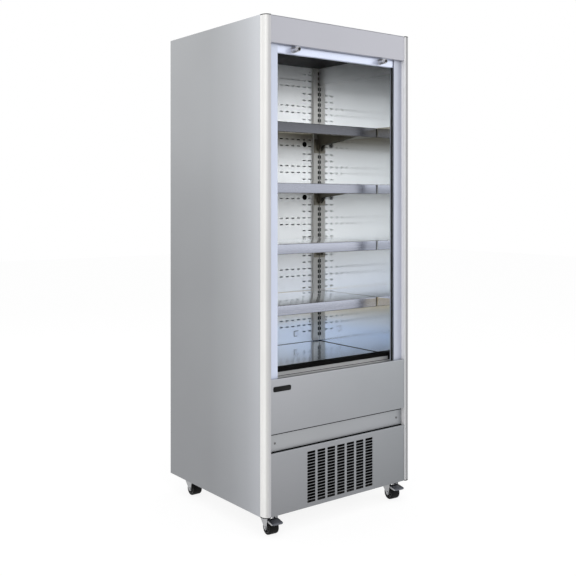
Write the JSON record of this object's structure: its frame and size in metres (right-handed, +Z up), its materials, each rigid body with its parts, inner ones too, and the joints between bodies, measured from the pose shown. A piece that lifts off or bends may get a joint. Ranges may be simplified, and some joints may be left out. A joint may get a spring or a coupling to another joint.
{
  "type": "open multideck display fridge",
  "caption": "Upright open-front display fridge with shelves, a lockable roller shutter, a slotted machine grille and swivel castors.",
  "frame": {"origin": "on the floor under the middle of the outline, with the castors' wheels touching it", "axes": "+X to the right seen from the front, +Y from the open front to the back, +Z up"},
  "size_m": [0.7, 0.656, 1.802],
  "materials": {
    "outer_sheet": "satin",
    "front_sheet": "satin",
    "bright_sheet": "satin",
    "post_aluminium": "satin",
    "rail_aluminium": "satin",
    "liner_steel": "gloss",
    "shelf_steel": "satin",
    "galvanised": "satin",
    "black_sheet": "satin",
    "black_plastic": "matte",
    "pile_seal": "matte",
    "foam": "matte",
    "white_tray": "satin",
    "coil_aluminium": "satin",
    "compressor_black": "gloss",
    "lock_chrome": "polished",
    "castor_zinc": "satin",
    "castor_rubber": "matte",
    "pedal_steel": "satin"
  },
  "bodies": {
    "cabinet": {"left_side_panel": "outer_sheet", "right_side_panel": "outer_sheet", "rear_panel": "outer_sheet", "rear_grille": "outer_sheet", "roof_panel": "outer_sheet", "fascia_panel": "front_sheet", "grille_panel": "front_sheet", "service_strip": "front_sheet", "header_panel": "bright_sheet", "left_corner_post": "post_aluminium", "right_corner_post": "post_aluminium", "guide_rails": "post_aluminium", "inner_liner": "liner_steel", "perforated_back_panel": "liner_steel", "shelf_uprights": "liner_steel", "sill_trough": "liner_steel", "shelf_1": "shelf_steel", "shelf_2": "shelf_steel", "shelf_3": "shelf_steel", "shelf_4": "shelf_steel", "deck_tray": "shelf_steel", "shelf_brackets": "shelf_steel", "base_frame": "galvanised", "shutter_brackets": "galvanised", "condenser_fan_shroud": "galvanised", "evaporator_fan_plate": "galvanised", "castor_plates": "galvanised", "shutter_housing": "black_sheet", "canopy_panel": "black_sheet", "air_curtain_grille": "black_sheet", "air_return_trim": "black_sheet", "post_end_caps": "black_plastic", "back_plugs": "black_plastic", "badge_plate": "black_plastic", "control_box": "black_plastic", "guide_seals": "pile_seal", "insulation_slabs": "foam", "drain_tray": "white_tray", "condenser_coil": "coil_aluminium", "evaporator_coil": "coil_aluminium", "compressor": "compressor_black", "strip_screws": "lock_chrome"},
    "condenser_fan": {"condenser_fan": "black_plastic"},
    "evaporator_fan": {"evaporator_fan": "black_plastic"},
    "shutter": {"shutter_rail": "rail_aluminium", "lock_barrels": "lock_chrome", "shutter_curtain": "rail_aluminium"},
    "shutter_roll": {"shutter_roll": "rail_aluminium"},
    "lock_left": {"lock_plug_left": "lock_chrome"},
    "lock_right": {"lock_plug_right": "lock_chrome"},
    "fork_front_left": {"castor_fork_front_left": "castor_zinc"},
    "wheel_front_left": {"castor_wheel_front_left": "castor_rubber"},
    "pedal_left": {"brake_pedal_left": "pedal_steel"},
    "fork_front_right": {"castor_fork_front_right": "castor_zinc"},
    "wheel_front_right": {"castor_wheel_front_right": "castor_rubber"},
    "pedal_right": {"brake_pedal_right": "pedal_steel"},
    "fork_rear_left": {"castor_fork_rear_left": "castor_zinc"},
    "wheel_rear_left": {"castor_wheel_rear_left": "castor_rubber"},
    "fork_rear_right": {"castor_fork_rear_right": "castor_zinc"},
    "wheel_rear_right": {"castor_wheel_rear_right": "castor_rubber"}
  },
  "joints": [
    {"name": "condenser_fan_spin", "type": "hinge", "parent": "cabinet", "child": "condenser_fan", "pos_m": [0, -0.246, 0.184], "axis": [0, 1, 0], "continuous": true},
    {"name": "evaporator_fan_spin", "type": "hinge", "parent": "cabinet", "child": "evaporator_fan", "pos_m": [0, -0.074, 0.439], "axis": [0, 1, 0], "continuous": true},
    {"name": "shutter_slide", "type": "slide", "parent": "cabinet", "child": "shutter", "axis": [0, 0, -1], "range_m": [0, 1.136], "deforming": ["shutter_curtain"]},
    {"name": "shutter_roll_spin", "type": "hinge", "parent": "cabinet", "child": "shutter_roll", "pos_m": [0, -0.2441, 1.754], "axis": [1, 0, 0], "range_deg": [0, 2300]},
    {"name": "lock_left_turn", "type": "hinge", "parent": "shutter", "child": "lock_left", "pos_m": [-0.21, -0.312, 1.693], "axis": [0, 1, 0], "range_deg": [0, 90]},
    {"name": "lock_right_turn", "type": "hinge", "parent": "shutter", "child": "lock_right", "pos_m": [0.21, -0.312, 1.693], "axis": [0, 1, 0], "range_deg": [0, 90]},
    {"name": "front_left_swivel", "type": "hinge", "parent": "cabinet", "child": "fork_front_left", "pos_m": [-0.294, -0.254, 0.066], "axis": [0, 0, 1], "continuous": true},
    {"name": "front_left_roll", "type": "hinge", "parent": "fork_front_left", "child": "wheel_front_left", "pos_m": [-0.2963, -0.27588, 0.025], "axis": [0.9945, -0.1045, 0], "continuous": true},
    {"name": "brake_left_tilt", "type": "hinge", "parent": "fork_front_left", "child": "pedal_left", "pos_m": [-0.29588, -0.2719, 0.057], "axis": [0.9945, -0.1045, 0], "range_deg": [0, 12]},
    {"name": "front_right_swivel", "type": "hinge", "parent": "cabinet", "child": "fork_front_right", "pos_m": [0.294, -0.254, 0.066], "axis": [0, 0, 1], "continuous": true},
    {"name": "front_right_roll", "type": "hinge", "parent": "fork_front_right", "child": "wheel_front_right", "pos_m": [0.2917, -0.27588, 0.025], "axis": [0.9945, -0.1045, 0], "continuous": true},
    {"name": "brake_right_tilt", "type": "hinge", "parent": "fork_front_right", "child": "pedal_right", "pos_m": [0.29212, -0.2719, 0.057], "axis": [0.9945, -0.1045, 0], "range_deg": [0, 12]},
    {"name": "rear_left_swivel", "type": "hinge", "parent": "cabinet", "child": "fork_rear_left", "pos_m": [-0.294, 0.257, 0.066], "axis": [0, 0, 1], "continuous": true},
    {"name": "rear_left_roll", "type": "hinge", "parent": "fork_rear_left", "child": "wheel_rear_left", "pos_m": [-0.294, 0.235, 0.025], "axis": [1, 0, 0], "continuous": true},
    {"name": "rear_right_swivel", "type": "hinge", "parent": "cabinet", "child": "fork_rear_right", "pos_m": [0.294, 0.257, 0.066], "axis": [0, 0, 1], "continuous": true},
    {"name": "rear_right_roll", "type": "hinge", "parent": "fork_rear_right", "child": "wheel_rear_right", "pos_m": [0.294, 0.235, 0.025], "axis": [1, 0, 0], "continuous": true}
  ],
  "couplings": [
    {"joint": "shutter_roll_spin", "follows": "shutter_slide", "rad_per_m": 35}
  ]
}
